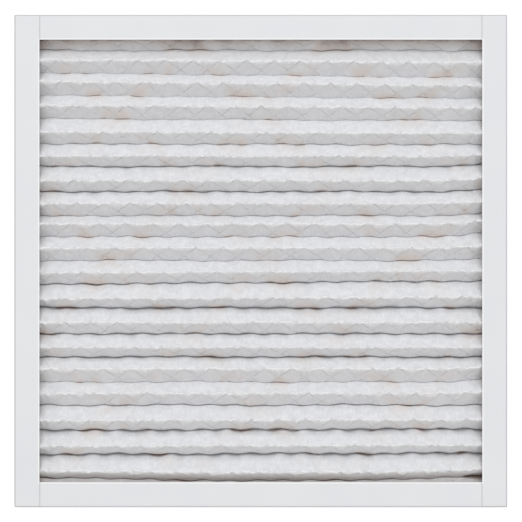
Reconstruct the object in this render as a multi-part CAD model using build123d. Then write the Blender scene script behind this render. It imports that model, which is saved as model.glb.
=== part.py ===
from build123d import *
import os
from math import asin, atan2, ceil, cos, degrees, hypot, tan

# Pleated panel air filter, nominal 20 x 20 x 1 in, in millimetres.
# It lies on its air-leaving face: +Z points out of the air-entering face, the pleats run
# along X and follow each other along Y. The origin is the middle of the bottom face.

# ---- Driving dimensions -------------------------------------------------------------------
frame_width = 495.3  # outside, along X
frame_length = 495.3  # outside, along Y
frame_depth = 19.05  # outside, along Z
board = 0.7  # thickness of the clay-coated board
fold_radius = 0.4  # inside radius of a scored fold
flap_width = 25.4  # front flaps, from the outer edge to the opening
border_width = 25.4  # back border, from the outer edge to the lattice
glue_film = 0.1  # between two glued boards, and between a strap and a pleat tip

cells_across = 3  # lattice cells along one side of the back opening
strap_width = 12.7
cell_corner = 2.0  # cut off each corner of a cell, so that the straps do not tear there

flap_end_gap = 1.2  # from the end of a side flap to the frame's outer face
edge_gap = 0.3  # between the cut edge of a board and the board beside it
tab_length = 16.0  # corner tabs, glued inside the end walls
tab_clearance = 0.6  # from a tab's edges to the flap and to the back
pad_margin = 2.5  # from a glue pad's edges to the edges of the boards it joins

pleat_pitch = 24.0
pack_shift = -4.0  # the middle valley sits this far off the middle, along Y
media = 2.0  # thickness of the needled polyester
ridge_room = 0.2  # from a ridge to the flaps over it
ridge_radius = 0.8  # inside radius of a ridge, on the media's back face
valley_radius = 0.4  # inside radius of a valley, on the media's front face
side_seal = 1.0  # hot melt between the pleat ends and a side wall

grid = 0.5  # thickness of the expanded steel
grid_bond = 0.15  # between the steel and the media
grid_columns = 4  # diamonds along a pleat
grid_pleats = 3  # pleats that one diamond spans
strand_width = 3.0

# ---- Sizes that follow --------------------------------------------------------------------
bend = fold_radius + board  # outside radius of a fold
side_flap_under = frame_depth - board
end_flap_top = side_flap_under - glue_film
end_flap_under = end_flap_top - board
inner_half_width = frame_width / 2 - board
inner_half_length = frame_length / 2 - board
tab_face = inner_half_length - glue_film  # a tab's outer face, glued to the end wall
tab_low = board + tab_clearance
tab_high = end_flap_under - tab_clearance
wall_end = tab_face - bend  # where a side wall turns into its tab

pack_half_width = inner_half_width - side_seal
pack_half_length = tab_face - board - glue_film
pack_bottom = board + glue_film
pack_top = end_flap_under - ridge_room
seal_height = (board + fold_radius, end_flap_under - fold_radius)


def slab(x, y, z):
    """A box between two places along each axis."""
    middle = [(low + high) / 2 for low, high in (x, y, z)]
    size = [high - low for low, high in (x, y, z)]
    return Pos(*middle) * Box(*size)


def on_both_sides(piece):
    """The piece and its mirror image across X = 0."""
    return {"right": piece, "left": mirror(piece, Plane.YZ)}


def in_each_corner(piece):
    """The piece of the far right corner, and the same in the other three."""
    half_turn = Rot(0, 0, 180)
    left = mirror(piece, Plane.YZ)
    return {
        "top_right": piece,
        "top_left": left,
        "bottom_left": half_turn * piece,
        "bottom_right": half_turn * left,
    }


# ---- Board frame: one die-cut board, scored and folded ------------------------------------
def lattice_cells():
    """The openings between the straps of the back: diamonds, cut off along the border."""
    opening = (frame_width - 2 * border_width, frame_length - 2 * border_width)
    pitch_x, pitch_y = (side / cells_across for side in opening)
    diagonal = hypot(pitch_x, pitch_y)
    reach_x = pitch_x / 2 - strap_width / 2 * diagonal / pitch_y
    reach_y = pitch_y / 2 - strap_width / 2 * diagonal / pitch_x
    diamond = make_face(
        Polyline((reach_x, 0), (0, reach_y), (-reach_x, 0), (0, -reach_y), close=True)
    )
    window = Rectangle(*opening)
    cells = []
    for column in range(2 * cells_across + 1):
        for row in range(2 * cells_across + 1):
            if (column + row) % 2:
                x = (column - cells_across) * pitch_x / 2
                y = (row - cells_across) * pitch_y / 2
                cell = (Pos(x, y) * diamond) & window
                cells.append(chamfer(cell.vertices(), cell_corner))
    return cells


def folded_strip(half_span, height, half_run):
    """Bottom fold, wall, top fold and flap at +half_span, drawn in X and Z, along Y."""
    outside = FilletPolyline(
        (half_span - 2 * bend, 0),
        (half_span, 0),
        (half_span, height),
        (half_span - flap_width, height),
        radius=bend,
    )
    inside = FilletPolyline(
        (half_span - 2 * bend, board),
        (half_span - board, board),
        (half_span - board, height - board),
        (half_span - flap_width, height - board),
        radius=fold_radius,
    )
    ends = [Line(outside @ 0, inside @ 0), Line(outside @ 1, inside @ 1)]
    section = make_face(outside.edges() + inside.edges() + ends)
    return extrude(Plane.XZ * section, half_run, both=True)


def side_strip():
    """The right side: its flap runs past the wall, over the end flaps."""
    flap_end = frame_length / 2 - flap_end_gap
    strip = folded_strip(frame_width / 2, frame_depth, flap_end)
    across = (frame_width / 2 - 3 * bend, frame_width / 2 + bend)
    for end in ((-flap_end - 1, -wall_end), (wall_end, flap_end + 1)):
        strip -= slab(across, end, (-1, side_flap_under - fold_radius))
    return strip


def end_strip():
    """The far end: its wall is as wide as the frame, and its flap fits between the sides."""
    strip = Rot(0, 0, 90) * folded_strip(frame_length / 2, end_flap_top, frame_width / 2)
    along = (wall_end - flap_width, frame_length / 2 + 1)
    for side in (-1, 1):
        past_fold = sorted((side * (frame_width / 2 - 2 * bend), side * (frame_width / 2 + 1)))
        past_flap = sorted((side * (inner_half_width - edge_gap), side * (frame_width / 2 + 1)))
        strip -= slab(past_fold, along, (-1, bend))
        strip -= slab(past_flap, along, (end_flap_top - bend, end_flap_top + 1))
    return strip


def corner_tab():
    """The tab that turns in from the right wall's far end, seen from above as an L."""
    side = frame_width / 2
    outside = FilletPolyline(
        (side, wall_end - bend), (side, tab_face), (side - tab_length, tab_face), radius=bend
    )
    inside = FilletPolyline(
        (side - board, wall_end - bend),
        (side - board, tab_face - board),
        (side - tab_length, tab_face - board),
        radius=fold_radius,
    )
    ends = [Line(outside @ 0, inside @ 0), Line(outside @ 1, inside @ 1)]
    section = make_face(outside.edges() + inside.edges() + ends)
    return Pos(0, 0, tab_low) * extrude(section, tab_high - tab_low)


def board_frame():
    back = Rectangle(frame_width - 2 * bend, frame_length - 2 * bend) - lattice_cells()
    pieces = [extrude(back, board)]
    pieces += on_both_sides(side_strip()).values()
    pieces += [end_strip(), mirror(end_strip(), Plane.XZ)]
    pieces += in_each_corner(corner_tab()).values()
    return pieces[0].fuse(*pieces[1:]).clean()


# ---- Pleated media and the steel grid behind it -------------------------------------------
# A level is a distance in front of the media's back face. The legs of the pleats are the
# common tangents of the folds' arcs, so every level shares one leg angle.
back_valley_radius = valley_radius + media
back_ridge = pack_top - media
back_valley = pack_bottom + grid + grid_bond
leg_run = pleat_pitch / 2
radii = ridge_radius + back_valley_radius
rise = back_ridge - back_valley - radii
leg_angle = atan2(rise, leg_run) + asin(radii / hypot(leg_run, rise))
folds = 2 * ceil((frame_length / 2 + abs(pack_shift)) / pleat_pitch) + 1


def fold_places():
    """Each fold's place along Y, and whether it is a ridge."""
    for number in range(-folds, folds + 1):
        yield pack_shift + number * leg_run, bool(number % 2)


def round_folds(level):
    """The path of the pleats at a level, with round folds."""
    corners, arcs = [], []
    for y, ridge in fold_places():
        radius = ridge_radius + level if ridge else back_valley_radius - level
        past = radius * (1 / cos(leg_angle) - 1)
        height = back_ridge + level + past if ridge else back_valley + level - past
        corners.append((y, height))
        arcs.append(radius)
    return FilletPolyline(*corners, radius=arcs[1:-1])


def creased_folds(level):
    """The same path, with each fold pressed to a narrow flat."""
    corners = []
    for y, ridge in fold_places():
        radius = ridge_radius + level if ridge else back_valley_radius - level
        height = (back_ridge if ridge else back_valley) + level
        flat = radius * tan(leg_angle / 2)
        corners += [(y - flat, height), (y + flat, height)]
    return Polyline(*corners)


def pleated_sheet(front, back):
    """The folded sheet between two paths, along X, cut off at the ends of the pack."""
    ends = [Line(front @ 0, back @ 0), Line(front @ 1, back @ 1)]
    section = make_face(front.edges() + back.edges() + ends)
    window = Pos(0, frame_depth / 2) * Rectangle(2 * pack_half_length, 2 * frame_depth)
    return extrude(Plane.YZ * (section & window), pack_half_width, both=True)


def strand_lattice():
    """The expanded steel seen from above: two families of parallel strands that cross."""
    column = 2 * pack_half_width / grid_columns
    row = grid_pleats * pleat_pitch
    angle = degrees(atan2(row, column))
    lines = ceil(grid_columns / 2 + pack_half_length / row)
    strand = Rectangle(4 * (pack_half_width + pack_half_length), strand_width)
    slanted = Rot(0, 0, angle) * strand
    family = [Pos(number * column, 0) * slanted for number in range(-lines, lines + 1)]
    family += [mirror(strand, Plane.YZ) for strand in family]
    window = Rectangle(2 * pack_half_width, 2 * pack_half_length)
    return family[0].fuse(*family[1:]) & window


def support_grid():
    sheet = pleated_sheet(creased_folds(-grid_bond), creased_folds(-grid_bond - grid))
    return sheet & extrude(strand_lattice(), frame_depth)


# ---- Hot melt and glue pads ---------------------------------------------------------------
def side_seal_right():
    return slab((pack_half_width, inner_half_width), (-wall_end, wall_end), seal_height)


def end_seal_far():
    half = frame_width / 2 - tab_length - edge_gap
    return slab((-half, half), (pack_half_length, inner_half_length), seal_height)


def flap_pad():
    """Bonds the right flap to the far end flap under it."""
    x = (frame_width / 2 - flap_width + pad_margin, inner_half_width - edge_gap - pad_margin)
    y = (frame_length / 2 - flap_width + pad_margin, frame_length / 2 - bend - pad_margin)
    return slab(x, y, (end_flap_top, side_flap_under))


def tab_pad():
    """Bonds the right wall's far tab to the end wall."""
    x = (frame_width / 2 - tab_length + pad_margin, frame_width / 2 - bend - pad_margin)
    z = (tab_low + pad_margin, tab_high - pad_margin)
    return slab(x, (tab_face, inner_half_length), z)


nodes = {
    "board_frame": board_frame(),
    "pleated_media": pleated_sheet(round_folds(media), creased_folds(0)),
    "support_grid": support_grid(),
}
for side, seal in on_both_sides(side_seal_right()).items():
    nodes[f"side_seal_{side}"] = seal
nodes["end_seal_top"] = end_seal_far()
nodes["end_seal_bottom"] = mirror(end_seal_far(), Plane.XZ)
for corner, pad in in_each_corner(flap_pad()).items():
    nodes[f"flap_glue_{corner}"] = pad
for corner, pad in in_each_corner(tab_pad()).items():
    nodes[f"tab_glue_{corner}"] = pad

os.makedirs("parts", exist_ok=True)
for name, solid in nodes.items():
    export_step(solid, f"parts/{name}.step")
    print(name, len(solid.solids()), round(solid.volume / 1000, 2), "cm3")
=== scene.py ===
import math

import bpy
import numpy as np
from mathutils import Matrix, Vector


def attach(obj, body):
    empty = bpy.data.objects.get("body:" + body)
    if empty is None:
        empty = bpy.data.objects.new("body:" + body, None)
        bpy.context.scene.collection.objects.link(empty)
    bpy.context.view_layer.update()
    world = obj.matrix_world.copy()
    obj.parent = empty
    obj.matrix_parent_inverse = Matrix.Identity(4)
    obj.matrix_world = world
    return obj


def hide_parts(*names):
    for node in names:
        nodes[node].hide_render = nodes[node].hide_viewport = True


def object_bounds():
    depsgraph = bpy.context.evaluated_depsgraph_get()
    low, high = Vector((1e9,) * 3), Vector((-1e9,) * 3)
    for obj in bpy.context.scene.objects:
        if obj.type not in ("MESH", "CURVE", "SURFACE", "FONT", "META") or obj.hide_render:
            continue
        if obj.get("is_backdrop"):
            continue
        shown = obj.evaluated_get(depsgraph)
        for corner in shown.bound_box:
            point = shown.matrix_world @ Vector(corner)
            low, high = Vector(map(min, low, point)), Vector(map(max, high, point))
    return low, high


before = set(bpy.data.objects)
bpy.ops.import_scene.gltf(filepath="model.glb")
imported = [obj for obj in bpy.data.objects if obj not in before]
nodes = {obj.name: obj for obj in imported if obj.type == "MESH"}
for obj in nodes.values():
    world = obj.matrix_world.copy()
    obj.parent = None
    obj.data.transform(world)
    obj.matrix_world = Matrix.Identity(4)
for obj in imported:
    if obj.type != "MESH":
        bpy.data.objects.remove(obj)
cad_low, cad_high = (list(corner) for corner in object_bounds())
outer_half = cad_high[0]
depth = cad_high[2]


# The folded board frame: die-cut paperboard, clay-coated white on the outside and bare kraft
# on the inside. It is scored, folded round the pleats and glued at the corners.
def linear(code):
    """An sRGB colour such as #E4E5E8 as linear RGBA: each channel is c/12.92 under 0.04045,
    and ((c + 0.055)/1.055) to the power 2.4 above it."""
    channels = [int(code[i:i + 2], 16) / 255 for i in (1, 3, 5)]
    return [c / 12.92 if c <= 0.04045 else ((c + 0.055) / 1.055) ** 2.4 for c in channels] + [1.0]


def add_node(tree, kind, settings=None, links=None):
    """Adds one node. settings holds its properties, or inputs by name or number, and links
    holds the sockets that feed its inputs."""
    node = tree.nodes.new(kind)
    for key, value in (settings or {}).items():
        if isinstance(key, str) and hasattr(node, key):
            setattr(node, key, value)
        else:
            node.inputs[key].default_value = value
    for key, socket in (links or {}).items():
        tree.links.new(socket, node.inputs[key])
    return node


def start_finish(name):
    """A new material of that name, with its node tree and its surface shader."""
    finish = bpy.data.materials.new(name)
    finish.use_nodes = True
    return finish, finish.node_tree, finish.node_tree.nodes["Principled BSDF"]


# Paperboard, clay-coated: calendered under steel rolls, so it is smooth with a low even gloss.
# The bare side is unbleached pulp, matt, with darker fibres in it.
opening_half = outer_half - 0.0254  # the flaps are 25.4 mm wide
inside_walls = outer_half - 0.0013  # clear of the walls and their folds
board_stock, tree, shader = start_finish("clay_coated_paperboard")
shader.inputs["Roughness"].default_value = 0.48
shader.inputs["IOR"].default_value = 1.47
place = add_node(tree, "ShaderNodeTexCoord")
# a face that looks towards the middle of the filter is the bare side
middle = add_node(tree, "ShaderNodeVectorMath", {"operation": "SUBTRACT", 1: (0, 0, depth / 2)},
                  {0: place.outputs["Object"]})
facing = add_node(tree, "ShaderNodeVectorMath", {"operation": "DOT_PRODUCT"},
                  {0: place.outputs["Normal"], 1: middle.outputs["Vector"]})
kraft_side = add_node(tree, "ShaderNodeMath", {"operation": "LESS_THAN", 1: 0.0},
                      {0: facing.outputs["Value"]})
# reach is the distance from the middle, measured square, along X or Y
apart = add_node(tree, "ShaderNodeSeparateXYZ", {}, {0: place.outputs["Object"]})
across = add_node(tree, "ShaderNodeMath", {"operation": "ABSOLUTE"}, {0: apart.outputs["X"]})
along = add_node(tree, "ShaderNodeMath", {"operation": "ABSOLUTE"}, {0: apart.outputs["Y"]})
reach = add_node(tree, "ShaderNodeMath", {"operation": "MAXIMUM"},
                 {0: across.outputs[0], 1: along.outputs[0]})
within = add_node(tree, "ShaderNodeMath", {"operation": "LESS_THAN", 1: inside_walls},
                  {0: reach.outputs[0]})
tilt = add_node(tree, "ShaderNodeSeparateXYZ", {}, {0: place.outputs["Normal"]})
tilt_size = add_node(tree, "ShaderNodeMath", {"operation": "ABSOLUTE"}, {0: tilt.outputs["Z"]})
upright = add_node(tree, "ShaderNodeMath", {"operation": "LESS_THAN", 1: 0.5},
                   {0: tilt_size.outputs[0]})
cut_edge = add_node(tree, "ShaderNodeMath", {"operation": "MULTIPLY"},
                    {0: within.outputs[0], 1: upright.outputs[0]})
# coating: clouds about 60 mm wide that differ by about one percent
clouds = add_node(tree, "ShaderNodeTexNoise", {"Scale": 1 / 0.06, "Detail": 3.0},
                  {"Vector": place.outputs["Object"]})
coating = add_node(tree, "ShaderNodeValToRGB", {}, {"Fac": clouds.outputs["Fac"]})
coating.color_ramp.elements[0].position, coating.color_ramp.elements[1].position = 0.3, 0.7
coating.color_ramp.elements[0].color = linear("#EBECEF")
coating.color_ramp.elements[1].color = linear("#EEEFF1")
# kraft: fibres about 3 mm long and 0.4 mm wide, laid mostly one way
fibre_way = add_node(tree, "ShaderNodeMapping", {"Scale": (1 / 0.003, 1 / 0.0004, 1 / 0.003)},
                     {"Vector": place.outputs["Object"]})
fibres = add_node(tree, "ShaderNodeTexNoise", {"Scale": 1.0, "Detail": 4.0},
                  {"Vector": fibre_way.outputs[0]})
kraft = add_node(tree, "ShaderNodeValToRGB", {}, {"Fac": fibres.outputs["Fac"]})
kraft.color_ramp.elements[0].position, kraft.color_ramp.elements[1].position = 0.3, 0.72
kraft.color_ramp.elements[0].color = linear("#9C7A58")
kraft.color_ramp.elements[1].color = linear("#BC9C78")
sides = add_node(tree, "ShaderNodeMixRGB", {},
                 {0: kraft_side.outputs[0], 1: coating.outputs[0], 2: kraft.outputs[0]})
# a cut edge is painted pale, a painted highlight where it catches the light
edges = add_node(tree, "ShaderNodeMixRGB", {2: linear("#F4F2EE")},
                 {0: cut_edge.outputs[0], 1: sides.outputs[0]})
# painted highlight: the last millimetre of a flap is painted white, a bright line where its edge
# catches the light
lip = add_node(tree, "ShaderNodeMath", {"operation": "SUBTRACT", 1: opening_half},
               {0: reach.outputs[0]})
lip_highlight = add_node(tree, "ShaderNodeMapRange", {"From Min": 0.0017, "From Max": 0.0009},
                   {"Value": lip.outputs[0]})
on_flap = add_node(tree, "ShaderNodeMath", {"operation": "GREATER_THAN", 1: depth / 2},
                   {0: apart.outputs["Z"]})
lip_highlight = add_node(tree, "ShaderNodeMath", {"operation": "MULTIPLY"},
                   {0: lip_highlight.outputs[0], 1: on_flap.outputs[0]})
bright_lip = add_node(tree, "ShaderNodeMixRGB", {2: linear("#FFFFFF")},
                      {0: lip_highlight.outputs[0], 1: edges.outputs[0]})
# painted shadow: a grey line on an end flap where the edge of a side flap stands on it
from_seam = add_node(tree, "ShaderNodeMath", {"operation": "SUBTRACT", 1: opening_half},
                     {0: across.outputs[0]})
from_seam = add_node(tree, "ShaderNodeMath", {"operation": "ABSOLUTE"},
                     {0: from_seam.outputs[0]})
seam_shadow = add_node(tree, "ShaderNodeMapRange", {"From Min": 0.0012, "From Max": 0.0004,
                                             "To Max": 0.4},
                {"Value": from_seam.outputs[0]})
below = add_node(tree, "ShaderNodeMath", {"operation": "LESS_THAN", 1: depth - 0.0004},
                 {0: apart.outputs["Z"]})
on_end = add_node(tree, "ShaderNodeMath", {"operation": "GREATER_THAN", 1: opening_half},
                  {0: along.outputs[0]})
seam_shadow = add_node(tree, "ShaderNodeMath", {"operation": "MULTIPLY"},
                {0: seam_shadow.outputs[0], 1: below.outputs[0]})
seam_shadow = add_node(tree, "ShaderNodeMath", {"operation": "MULTIPLY"},
                {0: seam_shadow.outputs[0], 1: on_end.outputs[0]})
seam_shaded = add_node(tree, "ShaderNodeMixRGB", {2: linear("#B4B5B8")},
                 {0: seam_shadow.outputs[0], 1: bright_lip.outputs[0]})
# painted shade: the coating is painted grey along the outer folds, where their rounded edges turn
# from the light
fold_shade = add_node(tree, "ShaderNodeMapRange", {"From Min": outer_half - 0.0022,
                                            "From Max": outer_half - 0.0008},
               {"Value": reach.outputs[0]})
from_waist = add_node(tree, "ShaderNodeMath", {"operation": "SUBTRACT", 1: depth / 2},
                      {0: apart.outputs["Z"]})
from_waist = add_node(tree, "ShaderNodeMath", {"operation": "ABSOLUTE"},
                      {0: from_waist.outputs[0]})
at_fold = add_node(tree, "ShaderNodeMapRange", {"From Min": depth / 2 - 0.0024,
                                                "From Max": depth / 2 - 0.0012},
                   {"Value": from_waist.outputs[0]})
fold_shade = add_node(tree, "ShaderNodeMath", {"operation": "MULTIPLY"},
               {0: fold_shade.outputs[0], 1: at_fold.outputs[0]})
fold_shaded = add_node(tree, "ShaderNodeMixRGB", {2: linear("#C6C7CA")},
                  {0: fold_shade.outputs[0], 1: seam_shaded.outputs[0]})
tree.links.new(fold_shaded.outputs[0], shader.inputs["Base Color"])
# orange peel of the coating, drawn 1.5 mm wide, coarser than the real 0.3 mm, so that it shows
peel = add_node(tree, "ShaderNodeTexNoise", {"Scale": 1 / 0.0015, "Detail": 2.0},
                {"Vector": place.outputs["Object"]})
lumps = add_node(tree, "ShaderNodeBump", {"Strength": 0.12, "Distance": 0.00003},
                 {"Height": peel.outputs["Fac"]})
tree.links.new(lumps.outputs[0], shader.inputs["Normal"])
board_frame = nodes["board_frame"]
board_frame.data.materials.clear()
board_frame.data.materials.append(board_stock)


# Hot melt: cream EVA glue run on as it cools. It bonds the flaps and corner tabs, and seals the
# pleat ends against the walls, so it is glossy with soft lumps.
hot_melt, tree, shader = start_finish("eva_hot_melt")
shader.inputs["Roughness"].default_value = 0.3
shader.inputs["IOR"].default_value = 1.48
place = add_node(tree, "ShaderNodeTexCoord")
# clouding about 4 mm wide, where the glue is thicker or thinner
thicker = add_node(tree, "ShaderNodeTexNoise", {"Scale": 1 / 0.004, "Detail": 2.0},
                   {"Vector": place.outputs["Object"]})
cream = add_node(tree, "ShaderNodeValToRGB", {}, {"Fac": thicker.outputs["Fac"]})
cream.color_ramp.elements[0].position, cream.color_ramp.elements[1].position = 0.3, 0.7
cream.color_ramp.elements[0].color = linear("#D9CCAC")
cream.color_ramp.elements[1].color = linear("#EBE2CB")
tree.links.new(cream.outputs[0], shader.inputs["Base Color"])
runs = add_node(tree, "ShaderNodeBump", {"Strength": 0.5, "Distance": 0.0004},
                {"Height": thicker.outputs["Fac"]})
tree.links.new(runs.outputs[0], shader.inputs["Normal"])
for name, node in nodes.items():
    if "seal" in name or "glue" in name:
        node.data.materials.clear()
        node.data.materials.append(hot_melt)


# The pleat folds: a flat web of felt with expanded steel under it, scored and folded up by
# hand, so no two pleats are quite alike. Both layers share these fold lines.
web_half = 0.24595  # from the middle to the web's cut edges, which lie on the seals
first_valley = 0.2350  # Y of the crease nearest the far end
# the lists run from the far end to the near end, in mm
pleat_gaps = [21, 25.5, 22, 23, 25, 22.5, 25.5, 24.5, 21.5, 24,
              22.5, 25.5, 26.5, 23.5, 25.5, 23.5, 25, 24.5, 26.5, 21.5]  # valley to valley
ridge_leans = [0, -0.3, 1, 0.3, -1.9, -1.8, -2.4, -0.3, 2, 0.8,
               -0.1, -2.4, -1, -1, 2, 1.8, -0.9, -1.9, -2.8, 0]  # a ridge off its pleat's middle
full_top = 17.35
ridge_tops = [11.5] + [full_top] * 18 + [11.5]  # the two end pleats are pressed down
crease_lifts = [0] * 19 + [5, 0]  # how far a crease stands above the rest
crease_halves = [0.1, 0.2, 0.05, 0.05, 0.15, 0.3, 0.75, 0.8, 0.25, 0.25, 0.25,
                 0.7, 1.5, 0.9, 0.9, 0.25, 0.6, 1.4, 1.5, 0.6, 0.8]  # half a crease's mouth
slants = [0, 0, -5, -3, -2, -1] + [0] * 5 + [3.5] + [0] * 5 + [1.5, 1.5, 0, 0]  # of valleys
right_lifts = [0] * 5 + [0.5, 3, 1.7, 2.5, 3.5, 1, 0, 0.5, 0, 0, 3.5, 0, 0, 0, 2, 0]
lift_from, lift_run = 0.165, 0.057  # m: a valley lifts to the far side past here, and how fast
bows = [0] * 19 + [3.5, 0]  # how far a valley's two ends lie beyond its middle
valley_wander, ridge_wander, ridge_fray = 0.0010, 0.0006, 0.0007
torn_crease = 19  # at its right end the felt has come away from the board behind it
valleys = first_valley - np.concatenate([[0], np.cumsum(pleat_gaps)]) / 1000
ridges = (valleys[:-1] + valleys[1:]) / 2 + np.array(ridge_leans) / 1000
pleats = len(ridges)
wire_pitch = 0.027  # one diamond of the steel along a fold
ridge_phase = np.random.default_rng(11).uniform(0, wire_pitch, pleats + 2)


def wander(x, line, seed, size, spans=(0.027, 0.061, 0.17), shares=(0.55, 0.3, 0.4)):
    """How far a fold strays from its line at x: a sum of cosines of x whose wavelengths are
    the spans and whose heights are size times the shares, times 0.6 to 1.3. Those factors and
    the phases are drawn once for each line."""
    dice = np.random.default_rng([seed, line])
    phases = dice.uniform(0, 2 * np.pi, len(spans))
    heights = np.array(shares) * dice.uniform(0.6, 1.3, len(spans))
    waves = np.cos(2 * np.pi * x[None, :] / np.array(spans)[:, None] + phases[:, None])
    return size * (heights[:, None] * waves).sum(0)


def drift(x, n):
    """How far a valley lies off square at x: its slant shared out evenly over the opening's
    width, a lift that grows with the square of the distance past lift_from, and a bow that
    grows with the distance from the middle to the power 1.5."""
    past = np.clip((x - lift_from) / lift_run, 0, 1.2)
    bow = bows[n] * np.abs(x / opening_half) ** 1.5
    return (slants[n] * x / (2 * opening_half) + right_lifts[n] * past ** 2 + bow) / 1000


def fold_lines(x):
    """Y of every fold at each x, one row per fold: the web's far end, then valley and ridge in
    turn, and its near end. A fold lies at its place plus its drift and its wander, where a
    ridge drifts as the mean of its two valleys and is frayed by a second, shorter wander."""
    rows = [np.full_like(x, web_half)]
    for n in range(pleats):
        rows.append(valleys[n] + drift(x, n) + wander(x, n, 3, valley_wander))
        rows.append(ridges[n] + (drift(x, n) + drift(x, n + 1)) / 2
                    + wander(x, n, 5, ridge_wander)
                    + wander(x, n, 7, ridge_fray, (0.0061, 0.0083, 0.0137), (0.5, 0.5, 0.6)))
    rows.append(valleys[-1] + wander(x, pleats, 3, valley_wander) * 0.5)
    rows.append(np.full_like(x, -web_half))
    return np.array(rows)


def ridge_dip(x, n):
    """How far a ridge sinks between the steel's nodes: 0 at each node, and rising in a straight
    V to 1 half way to the next, times a size that changes slowly along the ridge, plus a fray
    of short waves."""
    share = np.mod(x - ridge_phase[n], wire_pitch) / wire_pitch
    notch = 1 - np.abs(2 * share - 1)
    slow = 0.65 + wander(x, n, 23, 0.55, (0.043, 0.09, 0.21), (0.5, 0.4, 0.4))
    fray = wander(x, n, 29, 0.16, (0.0057, 0.0091, 0.0127), (0.5, 0.5, 0.5))
    return np.clip(notch * np.clip(slow, 0.1, 1.3) + fray, 0, 1.3)


# The expanded steel: thin galvanised sheet, slit and stretched into diamonds 27 mm wide, with
# ribbon-like strands. It is glued to the felt's back and holds the pleats up.
strand_wide, strand_thick = 0.0011, 0.0004
past_edge = 0.06  # how far past the web's cut sides nodes are laid, for strands that come back in
shortest_strand = 0.15  # of a leg: shorter scraps at a cut side are left off
fold_to_fold = 0.02003  # developed length of one leg, three quarters of a diamond
steel_low, steel_high = 0.00128, 0.0154


def back_rise(s):
    """Height of the felt's back on a leg, from 0 at the valley to 1 at the ridge, over the
    leg's run s: a straight slope with its two ends rounded like the arms of hyperbolas."""
    low_round, high_round = 0.05, 0.04
    rise = (np.sqrt(s ** 2 + low_round ** 2)
            - np.sqrt((1 - s) ** 2 + high_round ** 2))
    start = low_round - math.sqrt(1 + high_round ** 2)
    end = math.sqrt(1 + low_round ** 2) - high_round
    return (rise - start) / (end - start)


def strand_centres():
    """Centre lines of all strands. In each pleat every strand starts at one valley, climbs at
    45 degrees of the flat sheet to a node on the ridge, and goes on down to the next valley:
    x = node plus or minus the developed length from the ridge."""
    down = np.concatenate([np.linspace(-1, 0, 7)[:-1], np.linspace(0, 1, 7)])  # valley to valley
    lines = []
    for n in range(pleats):
        nodes_x = np.arange(-web_half - past_edge, web_half + past_edge, wire_pitch)
        nodes_x = nodes_x - np.mod(nodes_x[0] - ridge_phase[n], wire_pitch)
        for lean in (-1, 1):
            low_way = np.clip((-web_half - nodes_x) * lean / fold_to_fold, -1, 1)
            high_way = np.clip((web_half - nodes_x) * lean / fold_to_fold, -1, 1)
            first, last = np.minimum(low_way, high_way), np.maximum(low_way, high_way)
            way = np.clip(down[None, :], first[:, None], last[:, None])
            keep = (last - first) > shortest_strand
            x = (nodes_x[:, None] + lean * way * fold_to_fold)[keep]
            way = way[keep]
            flat = x.ravel()
            folds = fold_lines(flat)
            run = 1 - np.abs(way).ravel()
            ridge_y = folds[2 * n + 2]
            valley_y = np.where(way.ravel() < 0, folds[2 * n + 1], folds[2 * n + 3])
            y = valley_y + (ridge_y - valley_y) * run
            high = steel_high - (full_top - ridge_tops[n]) / 1000
            low = steel_low + np.where(way.ravel() < 0, crease_lifts[n],
                                       crease_lifts[n + 1]) / 1000
            z = low + (high - low) * back_rise(run)
            lines.append(np.stack([flat, y, z], 1).reshape(x.shape + (3,)))
    return np.concatenate(lines)


def ribbon_mesh(name, lines, wide, thick):
    """Carries a flat four-sided section along each line: wide across the line and level with
    the sheet, thick along the sheet's normal, with both ends capped."""
    count, steps = lines.shape[:2]
    way = np.gradient(lines, axis=1)
    way /= np.maximum(np.linalg.norm(way, axis=2, keepdims=True), 1e-9)
    level = np.array([1.0, 0, 0]) - way * way[..., :1]
    level /= np.maximum(np.linalg.norm(level, axis=2, keepdims=True), 1e-9)
    up = np.cross(way, level)
    up *= np.where(up[..., 2:] < 0, -1, 1)
    side = np.cross(up, way)
    corners = [(-1, -1), (1, -1), (1, 1), (-1, 1)]
    ring = np.stack([lines + side * a * wide / 2 + up * b * thick / 2 for a, b in corners], 2)
    first = (np.arange(count)[:, None] * steps + np.arange(steps - 1)[None, :]).ravel() * 4
    walls = [np.stack([first + a, first + b, first + 4 + b, first + 4 + a], 1)
             for a, b in ((0, 1), (1, 2), (2, 3), (3, 0))]
    start = np.arange(count) * steps * 4
    stop = start + (steps - 1) * 4
    caps = [np.stack([start + 3, start + 2, start + 1, start], 1),
            np.stack([stop, stop + 1, stop + 2, stop + 3], 1)]
    mesh = bpy.data.meshes.new(name)
    mesh.from_pydata(ring.reshape(-1, 3).tolist(), [], np.concatenate(walls + caps).tolist())
    mesh.validate()
    made = bpy.data.objects.new(name, mesh)
    bpy.context.scene.collection.objects.link(made)
    return made


expanded_steel = ribbon_mesh("expanded_steel", strand_centres(), strand_wide, strand_thick)
# Galvanised steel: hot-dipped zinc, so it is a bright grey metal with dull spangles.
zinc, tree, shader = start_finish("galvanised_steel")
shader.inputs["Metallic"].default_value = 1.0
place = add_node(tree, "ShaderNodeTexCoord")
spangles = add_node(tree, "ShaderNodeTexVoronoi", {"Scale": 1 / 0.003},
                    {"Vector": place.outputs["Object"]})
spangle_tone = add_node(tree, "ShaderNodeMixRGB", {1: linear("#B9BCC0"), 2: linear("#D5D7DA")},
                        {0: spangles.outputs["Distance"]})
tree.links.new(spangle_tone.outputs[0], shader.inputs["Base Color"])
spangle_dull = add_node(tree, "ShaderNodeMapRange", {"To Min": 0.32, "To Max": 0.5},
                        {"Value": spangles.outputs["Distance"]})
tree.links.new(spangle_dull.outputs[0], shader.inputs["Roughness"])
expanded_steel.data.materials.append(zinc)
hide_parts("support_grid")
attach(expanded_steel, "root")


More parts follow.
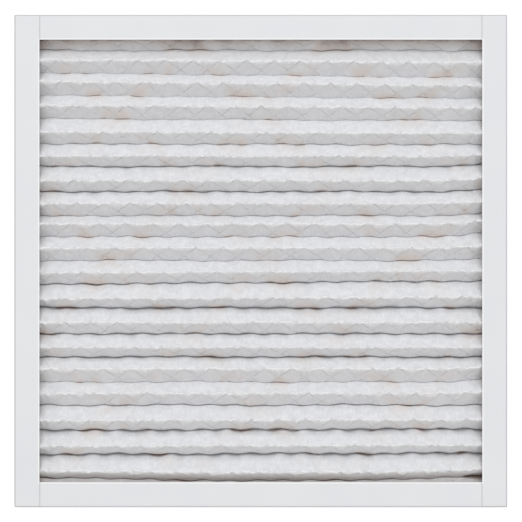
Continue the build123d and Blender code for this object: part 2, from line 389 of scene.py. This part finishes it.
# The pleated media: white needled polyester felt about 2 mm thick. Each valley is a pinched
# crease, and each ridge sags into flat facets between the steel's nodes.
felt_low = 0.0043  # where the straight slopes of the front end, at a crease's mouth
felt_peak = 0.00095  # a slope's line meets the ridge's place this far above the ridge's top
back_low, back_high = 0.0015, 0.0155
end_run = 0.012  # an end leg is cut off, and would need this run to come to its ridge
facet_run = 0.0009  # from a ridge to its facet's rim, where the ridge doesn't dip
far_spread, near_spread = 0.0008, 0.0031  # and how much further a full dip brings the rim
ridge_sag = 0.0018  # a full dip
diamond_puff = 0.0007  # how far the felt puffs out between the strands
ridge_crumple = 0.00016
tear_from, tear_run, tear_open = 0.203, 0.014, 0.0035  # its start, its reach and its width


def felt_rows(x):
    """The front face as rows of points from the far end to the near end, with each row's run
    s, from 0 at its valley to 1 at its ridge, its pleat, its side, the share of the run that
    its crease's mouth takes up, and its crease. On a leg the height is a straight slope
    between the folds. Near the valley it drops into a slit, which is 0.3 mm and three times
    its half mouth deep, up to 2.3 mm. Near the ridge it stops at a facet whose rim lies
    further down where the ridge dips: the rim is at the slope's height there, and the ridge
    at the top less the dip. In a diamond it puffs out by the product of two sines."""
    folds = fold_lines(x)
    points, runs, owners, sides, mouths, creases = [], [], [], [], [], []
    for leg in range(2 * pleats + 2):
        up = leg % 2 == 1  # from a valley up to a ridge, going towards the near end
        end = leg in (0, 2 * pleats + 1)
        pleat = min(max((leg - 1) // 2, 0), pleats - 1)
        low_y, high_y = (folds[leg], folds[leg + 1]) if up else (folds[leg + 1], folds[leg])
        run = np.abs(high_y - low_y)
        peak = ridge_tops[pleat] / 1000 + felt_peak
        crease = (leg - 1) // 2 if up else leg // 2
        low = felt_low + crease_lifts[crease] / 1000
        slope = (peak - low) / (end_run if end else run)
        slit = wander(x, crease, 41, 0.45, (0.019, 0.037, 0.11))
        slit = crease_halves[crease] / 1000 * np.clip(1 + slit, 0.3, 1.8)
        if crease == torn_crease:
            slit = slit + tear_open * np.clip((x - tear_from) / tear_run, 0, 1)
        dip = ridge_dip(x, pleat)
        facet = facet_run + (far_spread if up else near_spread) * dip
        top = ridge_tops[pleat] / 1000 - ridge_sag * dip
        rim = np.minimum(peak - slope * facet, top)
        rim_at = 1 - facet / run
        if end:
            rim_at, top = np.full_like(x, 0.8), low + slope * run
            rim = low + slope * run * rim_at
        shares = [0 * x, slit / run, 0 * x + 0.32, 0.16 + 0.5 * rim_at, rim_at,
                  0.45 * rim_at + 0.55, 0 * x + 1]
        heights = [low + slope * run * share for share in shares]
        for i in (2, 3):  # the two rows on the straight slope puff out
            u = (x - ridge_phase[pleat]) / wire_pitch
            v = (1 - shares[i]) * fold_to_fold / wire_pitch
            puff = np.abs(np.sin(np.pi * (u + v)) * np.sin(np.pi * (u - v)))
            heights[i] = heights[i] + diamond_puff * puff
        heights[0] = np.full_like(x, low - min(0.3 + 3 * crease_halves[crease], 2.3) / 1000)
        heights[4:] = [rim, 0.25 * rim + 0.75 * top, top]
        for i in (4, 5, 6):  # the ridge is crumpled by the scoring wheel
            seed = 60 + i + (0 if up or i == 6 else 3)
            heights[i] = heights[i] + wander(x, pleat, seed, ridge_crumple,
                                             (0.0047, 0.0071, 0.0107), (0.6, 0.5, 0.5))
        order = range(6) if up else range(6, 0, -1)
        if leg == 2 * pleats + 1:
            order = range(7)
        for i in order:
            points.append(np.stack([x, low_y + (high_y - low_y) * shares[i], heights[i]], 1))
            runs.append(shares[i] * (run / end_run if end else 1))
            owners.append(np.full_like(x, pleat))
            sides.append(np.full_like(x, -1 if up else 1))
            mouths.append(slit / run)
            creases.append(np.full_like(x, crease))
    return (np.array(points), np.array(runs), np.array(owners, int), np.array(sides),
            np.array(mouths), np.array(creases, int))


def felt_mesh(name, columns):
    """The closed sheet: the front rows, every second row again at the back's height, and walls
    round the rim that join two front steps to one back step."""
    x = np.linspace(-web_half, web_half, columns)
    front, runs, owners, sides, mouths, creases = felt_rows(x)
    back = front[::2].copy()
    high = back_high - (full_top - np.array(ridge_tops)[owners[::2]]) / 1000
    low = back_low + np.array(crease_lifts)[creases[::2]] / 1000
    back[..., 2] = low + (high - low) * back_rise(runs[::2])
    back[..., 2] = np.minimum(back[..., 2], front[::2, :, 2] - 0.0005)
    deep, half = len(front), len(back)
    f = np.arange(deep * columns).reshape(deep, columns)
    b = deep * columns + np.arange(half * columns).reshape(half, columns)
    quads = [
        np.stack([f[:-1, :-1], f[1:, :-1], f[1:, 1:], f[:-1, 1:]], 2).reshape(-1, 4),
        np.stack([b[:-1, :-1], b[:-1, 1:], b[1:, 1:], b[1:, :-1]], 2).reshape(-1, 4),
        np.stack([f[0, :-1], f[0, 1:], b[0, 1:], b[0, :-1]], 1),
        np.stack([f[-1, :-1], b[-1, :-1], b[-1, 1:], f[-1, 1:]], 1),
    ]
    left = np.stack([f[:-2:2, 0], b[:-1, 0], b[1:, 0], f[2::2, 0], f[1:-1:2, 0]], 1)
    right = np.stack([f[:-2:2, -1], b[:-1, -1], b[1:, -1], f[2::2, -1], f[1:-1:2, -1]], 1)
    faces = np.concatenate(quads).tolist() + left.tolist() + right[:, ::-1].tolist()
    mesh = bpy.data.meshes.new(name)
    mesh.from_pydata(np.concatenate([front.reshape(-1, 3), back.reshape(-1, 3)]).tolist(),
                     [], faces)
    # the flat sheet's own measure, for its material: X is along the fold from a node and Y is
    # down the leg from the ridge, both in diamonds, with Y below 0 on a pleat's far side. Z is
    # the share of the leg that the crease's mouth takes up
    measure = np.stack([(front[..., 0] - ridge_phase[owners]) / wire_pitch,
                        (1 - runs) * sides * fold_to_fold / wire_pitch,
                        mouths], 2)
    both = np.concatenate([measure.reshape(-1, 3), measure[::2].reshape(-1, 3)])
    mesh.attributes.new("flat_measure", "FLOAT_VECTOR", "POINT").data.foreach_set(
        "vector", both.astype(np.float32).ravel())
    mesh.validate()
    mesh.set_sharp_from_angle(angle=math.radians(17))  # folds are crisp, and crumples soft
    made = bpy.data.objects.new(name, mesh)
    bpy.context.scene.collection.objects.link(made)
    return made


pleated_felt = felt_mesh("pleated_felt", 247)
# Needled polyester felt: fine crimped fibres punched into a mat. It is matt and white, and
# looks cloudy where the mat is thicker. Raised marks show where the strands press through.
felt, tree, shader = start_finish("needled_polyester_felt")
shader.inputs["Roughness"].default_value = 0.92
shader.inputs["IOR"].default_value = 1.4
shader.inputs["Sheen Weight"].default_value = 0.15
shader.inputs["Sheen Roughness"].default_value = 0.6
place = add_node(tree, "ShaderNodeTexCoord")
measured = add_node(tree, "ShaderNodeAttribute", {"attribute_name": "flat_measure"})
# thick and thin patches of the mat, 7 mm wide, and drawn-out fibres 1.2 mm wide down the leg
blots = add_node(tree, "ShaderNodeTexNoise", {"Scale": 1 / 0.007, "Detail": 3.0},
                 {"Vector": place.outputs["Object"]})
draw_way = add_node(tree, "ShaderNodeMapping", {"Scale": (1 / 0.0012, 1 / 0.005, 1 / 0.005)},
                    {"Vector": place.outputs["Object"]})
drawn = add_node(tree, "ShaderNodeTexNoise", {"Scale": 1.0, "Detail": 2.0},
                 {"Vector": draw_way.outputs[0]})
mat = add_node(tree, "ShaderNodeMixRGB", {0: 0.45},
               {1: blots.outputs["Fac"], 2: drawn.outputs["Fac"]})
white = add_node(tree, "ShaderNodeValToRGB", {}, {"Fac": mat.outputs[0]})
white.color_ramp.elements[0].position, white.color_ramp.elements[1].position = 0.36, 0.64
white.color_ramp.elements[0].color = linear("#DEDFE2")
white.color_ramp.elements[1].color = linear("#EDEEF1")
# painted highlight: the ridges are painted brighter in broken flecks, where they catch the light
parts = add_node(tree, "ShaderNodeSeparateXYZ", {}, {0: measured.outputs["Vector"]})
flecks = add_node(tree, "ShaderNodeTexNoise", {"Scale": 1 / 0.005, "Detail": 2.0},
                  {"Vector": place.outputs["Object"]})
down_leg = add_node(tree, "ShaderNodeMath", {"operation": "ABSOLUTE"}, {0: parts.outputs["Y"]})
ridge_highlight = add_node(tree, "ShaderNodeMapRange",
                 {"From Min": 0.055, "From Max": 0.015},
                 {"Value": down_leg.outputs[0]})
fleck = add_node(tree, "ShaderNodeMapRange", {"From Min": 0.38, "From Max": 0.52},
                 {"Value": flecks.outputs["Fac"]})
ridge_highlight = add_node(tree, "ShaderNodeMath", {"operation": "MULTIPLY"},
                 {0: ridge_highlight.outputs[0], 1: fleck.outputs[0]})
ridge_highlighted = add_node(tree, "ShaderNodeMixRGB", {2: linear("#FDFDFF")},
                   {0: ridge_highlight.outputs[0], 1: white.outputs[0]})
# brown board behind shows through where a strap lies against the felt's valleys: the straps
# are the lines x + y and x - y = a whole number of pitches, 12.7 mm wide, and stain the felt
# up to 20 mm from those lines
strap_pitch = 0.148167
apart = add_node(tree, "ShaderNodeSeparateXYZ", {}, {0: place.outputs["Object"]})
strap_near = []
for way in ("ADD", "SUBTRACT"):
    slant = add_node(tree, "ShaderNodeMath", {"operation": way},
                     {0: apart.outputs["X"], 1: apart.outputs["Y"]})
    cell = add_node(tree, "ShaderNodeMath", {"operation": "PINGPONG", 1: strap_pitch / 2},
                    {0: slant.outputs[0]})
    strap_near.append(add_node(tree, "ShaderNodeMapRange",
                               {"interpolation_type": "SMOOTHSTEP", "From Min": 0.020,
                                "From Max": 0.008}, {"Value": cell.outputs[0]}))
strap = add_node(tree, "ShaderNodeMath", {"operation": "MAXIMUM"},
                 {0: strap_near[0].outputs[0], 1: strap_near[1].outputs[0]})
# the stain fades up the slopes, comes in patches 17 mm wide, and is weaker on the far sides
low = add_node(tree, "ShaderNodeMapRange", {"From Min": 0.018, "From Max": 0.008},
               {"Value": apart.outputs["Z"]})
patchy = add_node(tree, "ShaderNodeTexNoise", {"Scale": 1 / 0.017, "Detail": 3.0},
                  {"Vector": place.outputs["Object"]})
patches = add_node(tree, "ShaderNodeMapRange", {"From Min": 0.40, "From Max": 0.62},
                   {"Value": patchy.outputs["Fac"]})
tint = add_node(tree, "ShaderNodeMath", {"operation": "MULTIPLY"},
                {0: strap.outputs[0], 1: patches.outputs[0]})
glow = add_node(tree, "ShaderNodeMath", {"operation": "MULTIPLY"},
                {0: tint.outputs[0], 1: low.outputs[0]})
by_side = add_node(tree, "ShaderNodeMapRange", {"From Min": -0.02, "From Max": 0.02,
                                                "To Min": 0.4},
                   {"Value": parts.outputs["Y"]})
glow = add_node(tree, "ShaderNodeMath", {"operation": "MULTIPLY"},
                {0: glow.outputs[0], 1: by_side.outputs[0]})
tinted = add_node(tree, "ShaderNodeMixRGB", {2: linear("#E2D6CE")},
                  {0: glow.outputs[0], 1: ridge_highlighted.outputs[0]})
# painted bounce light: the near sides, turned from the lamp, are painted a shade creamier, as if
# lit by the board around
near_side_bounce = add_node(tree, "ShaderNodeMapRange", {"From Min": -0.02, "From Max": 0.02,
                                               "To Max": 0.3},
                  {"Value": parts.outputs["Y"]})
bounce_warmed = add_node(tree, "ShaderNodeMixRGB", {2: linear("#EDE9E6")},
                   {0: near_side_bounce.outputs[0], 1: tinted.outputs[0]})
# how deep in a crease: 1 at the fold, and 0 where the run from it is the mouth and 0.4 mm more
run_here = add_node(tree, "ShaderNodeMath",
                    {"operation": "MULTIPLY_ADD", 1: -wire_pitch / fold_to_fold, 2: 1.0},
                    {0: down_leg.outputs[0]})
mouth = add_node(tree, "ShaderNodeMath", {"operation": "ADD", 1: 0.035}, {0: parts.outputs["Z"]})
shallow = add_node(tree, "ShaderNodeMath", {"operation": "DIVIDE"},
                   {0: run_here.outputs[0], 1: mouth.outputs[0]})
deep = add_node(tree, "ShaderNodeMath", {"operation": "SUBTRACT", 0: 1.0, "use_clamp": True},
                {1: shallow.outputs[0]})
# painted shade: the wide creases are painted darker towards their folds, and the foot of a
# pleat's far side a little grey
broad = add_node(tree, "ShaderNodeMapRange", {"From Min": 0.02, "From Max": 0.12},
                 {"Value": parts.outputs["Z"]})
crease_shade = add_node(tree, "ShaderNodeMath", {"operation": "MULTIPLY"},
                 {0: deep.outputs[0], 1: broad.outputs[0]})
crease_shaded = add_node(tree, "ShaderNodeMixRGB", {2: linear("#929090")},
                 {0: crease_shade.outputs[0], 1: bounce_warmed.outputs[0]})
# painted shadow: the foot of a far side is painted grey, where the pleat before it shades it from
# the lamp
foot_shadow = add_node(tree, "ShaderNodeMapRange",
                {"interpolation_type": "SMOOTHSTEP", "From Min": 0.50, "From Max": 0.05,
                 "To Max": 0.55}, {"Value": run_here.outputs[0]})
foot_shadow = add_node(tree, "ShaderNodeMath", {"operation": "MULTIPLY"},
                {0: foot_shadow.outputs[0], 1: broad.outputs[0]})
far_side = add_node(tree, "ShaderNodeMath", {"operation": "LESS_THAN", 1: 0.0},
                    {0: parts.outputs["Y"]})
foot_shadow = add_node(tree, "ShaderNodeMath", {"operation": "MULTIPLY"},
                {0: foot_shadow.outputs[0], 1: far_side.outputs[0]})
foot_shaded = add_node(tree, "ShaderNodeMixRGB", {2: linear("#A9A9AC")},
                  {0: foot_shadow.outputs[0], 1: crease_shaded.outputs[0]})
# in the creases the board behind is seen itself, in some of those patches, painted dark brown:
# kraft in painted shade
deep_patches = add_node(tree, "ShaderNodeMapRange", {"From Min": 0.46, "From Max": 0.56},
                        {"Value": patchy.outputs["Fac"]})
in_crease = add_node(tree, "ShaderNodeMath", {"operation": "MULTIPLY"},
                     {0: strap.outputs[0], 1: deep_patches.outputs[0]})
in_crease = add_node(tree, "ShaderNodeMath", {"operation": "MULTIPLY"},
                     {0: in_crease.outputs[0], 1: deep.outputs[0]})
browned = add_node(tree, "ShaderNodeMixRGB", {2: linear("#6A4837")},
                   {0: in_crease.outputs[0], 1: foot_shaded.outputs[0]})
# strands: lines where the measure along plus or minus the measure down is a whole number.
# The felt is glued down there and shows a groove 1.5 mm wide, painted a little grey as painted
# shade in the groove
grooves = []
for way in ("ADD", "SUBTRACT"):
    slant = add_node(tree, "ShaderNodeMath", {"operation": way},
                     {0: parts.outputs["X"], 1: parts.outputs["Y"]})
    from_line = add_node(tree, "ShaderNodeMath", {"operation": "PINGPONG", 1: 0.5},
                         {0: slant.outputs[0]})
    grooves.append(add_node(tree, "ShaderNodeMapRange",
                            {"interpolation_type": "SMOOTHSTEP", "From Min": 0.045,
                             "From Max": 0.0}, {"Value": from_line.outputs[0]}))
groove = add_node(tree, "ShaderNodeMath", {"operation": "MAXIMUM"},
                  {0: grooves[0].outputs[0], 1: grooves[1].outputs[0]})
held = add_node(tree, "ShaderNodeMapRange", {"From Min": 0.38, "From Max": 0.62},
                {"Value": blots.outputs["Fac"]})
near_side = add_node(tree, "ShaderNodeMapRange",
                     {"From Min": -0.12, "From Max": 0.0, "To Min": 0.12, "To Max": 1.0},
                     {"Value": parts.outputs["Y"]})
held = add_node(tree, "ShaderNodeMath", {"operation": "MULTIPLY"},
                {0: held.outputs[0], 1: near_side.outputs[0]})
groove = add_node(tree, "ShaderNodeMath", {"operation": "MULTIPLY"},
                  {0: groove.outputs[0], 1: held.outputs[0]})
groove_shade = add_node(tree, "ShaderNodeMath", {"operation": "MULTIPLY", 1: 0.30},
                     {0: groove.outputs[0]})
groove_shaded = add_node(tree, "ShaderNodeMixRGB", {2: linear("#B8B9BC")},
                  {0: groove_shade.outputs[0], 1: browned.outputs[0]})
# painted shadow and painted bounce light: under the end flaps the felt is painted a darker
# brownish grey in patches, shaded by the flaps and lit brown from the bare board
far_end = add_node(tree, "ShaderNodeMapRange", {"From Min": 0.2135, "From Max": 0.2235},
                   {"Value": apart.outputs["Y"]})
near_end = add_node(tree, "ShaderNodeMapRange",
                    {"From Min": -0.2125, "From Max": -0.2160, "To Max": 0.4},
                    {"Value": apart.outputs["Y"]})
end_flap_shade = add_node(tree, "ShaderNodeMath", {"operation": "MAXIMUM"},
                     {0: far_end.outputs[0], 1: near_end.outputs[0]})
shade_patch_noise = add_node(tree, "ShaderNodeTexNoise", {"Scale": 1 / 0.03, "Detail": 3.0},
                  {"Vector": place.outputs["Object"]})
shade_patches = add_node(tree, "ShaderNodeMapRange",
                   {"From Min": 0.35, "From Max": 0.65, "To Min": 0.5, "To Max": 1.0},
                   {"Value": shade_patch_noise.outputs["Fac"]})
end_flap_shade = add_node(tree, "ShaderNodeMath", {"operation": "MULTIPLY"},
                     {0: end_flap_shade.outputs[0], 1: shade_patches.outputs[0]})
end_flap_shaded = add_node(tree, "ShaderNodeMixRGB", {2: linear("#BEB0A8")},
                   {0: end_flap_shade.outputs[0], 1: groove_shaded.outputs[0]})
# and the straps' own ends are seen there as streaks, painted dark brown: kraft in painted shade
streaky = add_node(tree, "ShaderNodeMapRange",
                   {"From Min": 0.38, "From Max": 0.66, "To Min": 0.15, "To Max": 0.75},
                   {"Value": mat.outputs[0]})
strap_core = add_node(tree, "ShaderNodeMath", {"operation": "POWER", 1: 2.0},
                      {0: strap.outputs[0]})
streaks = add_node(tree, "ShaderNodeMath", {"operation": "MULTIPLY"},
                   {0: strap_core.outputs[0], 1: streaky.outputs[0]})
streaks = add_node(tree, "ShaderNodeMath", {"operation": "MULTIPLY"},
                   {0: streaks.outputs[0], 1: far_end.outputs[0]})
streaked = add_node(tree, "ShaderNodeMixRGB", {2: linear("#84736C")},
                    {0: streaks.outputs[0], 1: end_flap_shaded.outputs[0]})
# the outermost creases, more than 213.5 mm from the middle, are darker still at the straps
end_crease = add_node(tree, "ShaderNodeMath", {"operation": "COMPARE", 1: 0.0, 2: 0.2135},
                      {0: apart.outputs["Y"]})
end_crease = add_node(tree, "ShaderNodeMath", {"operation": "SUBTRACT", 0: 1.0},
                      {1: end_crease.outputs[0]})
end_crease = add_node(tree, "ShaderNodeMath", {"operation": "MULTIPLY"},
                      {0: end_crease.outputs[0], 1: deep.outputs[0]})
end_crease = add_node(tree, "ShaderNodeMath", {"operation": "MULTIPLY"},
                      {0: end_crease.outputs[0], 1: strap_core.outputs[0]})
streaked = add_node(tree, "ShaderNodeMixRGB", {2: linear("#5A4337")},
                    {0: end_crease.outputs[0], 1: streaked.outputs[0]})
# in the torn corner only the bare board is left to see, painted dark brown: kraft in painted
# shade
torn_x = add_node(tree, "ShaderNodeMapRange", {"From Min": 0.203, "From Max": 0.208},
                  {"Value": apart.outputs["X"]})
torn_y = add_node(tree, "ShaderNodeMapRange", {"From Min": -0.2105, "From Max": -0.2125},
                  {"Value": apart.outputs["Y"]})
torn_z = add_node(tree, "ShaderNodeMapRange", {"From Min": 0.0100, "From Max": 0.0060},
                  {"Value": apart.outputs["Z"]})
torn = add_node(tree, "ShaderNodeMath", {"operation": "MULTIPLY"},
                {0: torn_x.outputs[0], 1: torn_y.outputs[0]})
torn = add_node(tree, "ShaderNodeMath", {"operation": "MULTIPLY"},
                {0: torn.outputs[0], 1: torn_z.outputs[0]})
bared = add_node(tree, "ShaderNodeMixRGB", {2: linear("#6B5040")},
                 {0: torn.outputs[0], 1: streaked.outputs[0]})
tree.links.new(bared.outputs[0], shader.inputs["Base Color"])
pressed = add_node(tree, "ShaderNodeBump", {"Strength": 0.9, "Distance": 0.0006, "invert": True},
                   {"Height": groove.outputs[0]})
# fibre clumps, drawn 1.6 mm wide, coarser than the real 0.3 mm, so that they show
clumps = add_node(tree, "ShaderNodeTexNoise", {"Scale": 1 / 0.0016, "Detail": 3.0},
                  {"Vector": place.outputs["Object"]})
nap = add_node(tree, "ShaderNodeBump", {"Strength": 0.6, "Distance": 0.0005},
               {"Height": clumps.outputs["Fac"], "Normal": pressed.outputs[0]})
tree.links.new(nap.outputs[0], shader.inputs["Normal"])
pleated_felt.data.materials.append(felt)
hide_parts("pleated_media")
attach(pleated_felt, "root")


# The floor: a plain pale sweep under the filter, white to the eye, that keeps the shadow. The
# extra white is only for rays that see the floor straight, in a gloss or through something.
def seen_rays(tree):
    """A node that is 1 for camera, glossy and transmission rays, and 0 for the others."""
    rays = add_node(tree, "ShaderNodeLightPath")
    seen = add_node(tree, "ShaderNodeMath", {"operation": "MAXIMUM"},
                    {0: rays.outputs["Is Camera Ray"], 1: rays.outputs["Is Glossy Ray"]})
    return add_node(tree, "ShaderNodeMath", {"operation": "MAXIMUM"},
                    {0: seen.outputs[0], 1: rays.outputs["Is Transmission Ray"]})


sweep_mesh = bpy.data.meshes.new("floor_sweep")
span, under = 6.0, -0.0001  # from the middle to the sweep's sides, and its height
sweep_mesh.from_pydata([(-span, -span, under), (span, -span, under),
                        (span, span, under), (-span, span, under)], [], [(0, 1, 2, 3)])
sweep = bpy.data.objects.new("floor_sweep", sweep_mesh)
bpy.context.scene.collection.objects.link(sweep)
paper, tree, shader = start_finish("matt_white_sweep")
shader.inputs["Base Color"].default_value = linear("#EEEEEE")
shader.inputs["Roughness"].default_value = 0.9
seen = seen_rays(tree)
lift = add_node(tree, "ShaderNodeMath", {"operation": "MULTIPLY", 1: 0.55},
                {0: seen.outputs[0]})
shader.inputs["Emission Color"].default_value = (1, 1, 1, 1)
tree.links.new(lift.outputs[0], shader.inputs["Emission Strength"])
sweep_mesh.materials.append(paper)
sweep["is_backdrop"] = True


# The light: an even pale room, and one wide soft lamp beyond the far edge, so that the pleats'
# far slopes are brighter than their near ones.
room = bpy.data.worlds.new("pale_room")
room.use_nodes = True
bpy.context.scene.world = room
tree = room.node_tree
sky = tree.nodes["Background"]
sky.inputs["Color"].default_value = (1, 1, 1, 1)
seen = seen_rays(tree)
strength = add_node(tree, "ShaderNodeMapRange", {"To Min": 0.672, "To Max": 1.0},
                    {"Value": seen.outputs[0]})
tree.links.new(strength.outputs[0], sky.inputs["Strength"])
lamp = bpy.data.lights.new("far_lamp", "AREA")
lamp.shape = "RECTANGLE"
lamp.size, lamp.size_y = 7.5, 4.5
lamp.energy = 468
far_lamp = bpy.data.objects.new("far_lamp", lamp)
bpy.context.scene.collection.objects.link(far_lamp)
lamp_from = np.array([0.0, 7.65, 9.3])
far_lamp.location = lamp_from
far_lamp.rotation_euler = (-math.atan2(lamp_from[1], lamp_from[2]), 0, 0)


# The camera: square over the front face, 1.15 m above it, a tenth of a millimetre off the
# middle.
camera = bpy.data.cameras.new("camera")
camera.sensor_width = 36
camera.lens = 79.05
camera.clip_start = 0.01
viewer = bpy.data.objects.new("camera", camera)
viewer.location = (0.00015, -0.0001, depth + 1.15)
viewer.rotation_euler = (0, 0, 0)
bpy.context.scene.collection.objects.link(viewer)
bpy.context.scene.camera = viewer
bpy.context.scene.view_settings.view_transform = "Standard"
